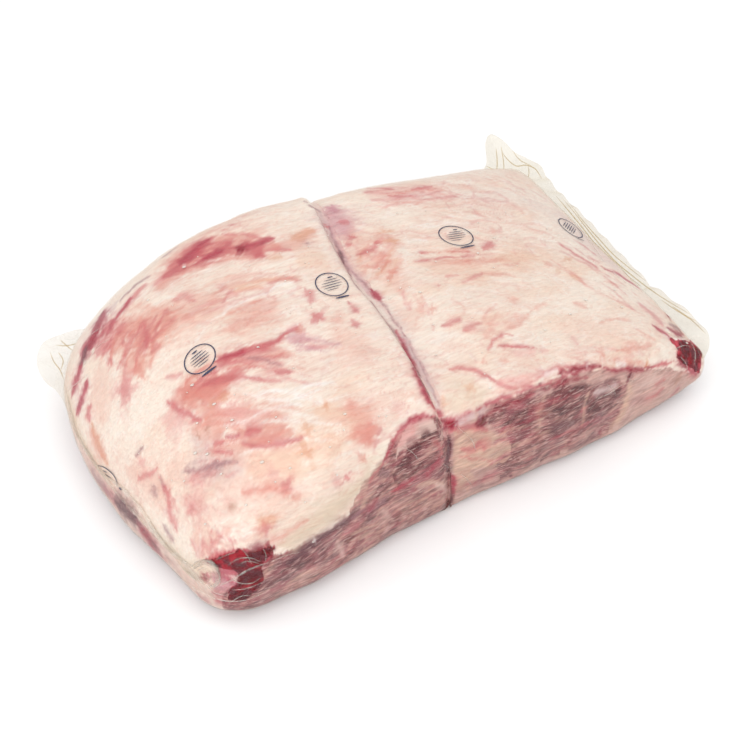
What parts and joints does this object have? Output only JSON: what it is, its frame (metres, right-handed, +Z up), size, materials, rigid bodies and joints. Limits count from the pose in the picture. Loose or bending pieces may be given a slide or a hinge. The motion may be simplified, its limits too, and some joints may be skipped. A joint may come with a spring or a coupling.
{
  "type": "vacuum-sealed pack of raw bone-in pork butts",
  "caption": "Raw bone-in pork shoulder butts lying side by side in a clear shrink bag with sealed film ends; rests flat on its lean side, fat cap up.",
  "frame": {"origin": "centre of the pack's bounding box in plan, on the surface it rests on", "axes": "+X along the pack from the thick left butt to the thin right butt, +Y away from the long wall of cut muscle, +Z up out of the fat caps"},
  "size_m": [0.4319, 0.2938, 0.1078],
  "materials": {
    "pork_left": "wet satin",
    "pork_right": "wet satin",
    "film": "gloss"
  },
  "bodies": {
    "root": {"pork_butt_left": "pork_left", "pork_butt_right": "pork_right", "bag_end_seal_left": "film", "bag_end_seal_right": "film"}
  },
  "joints": []
}
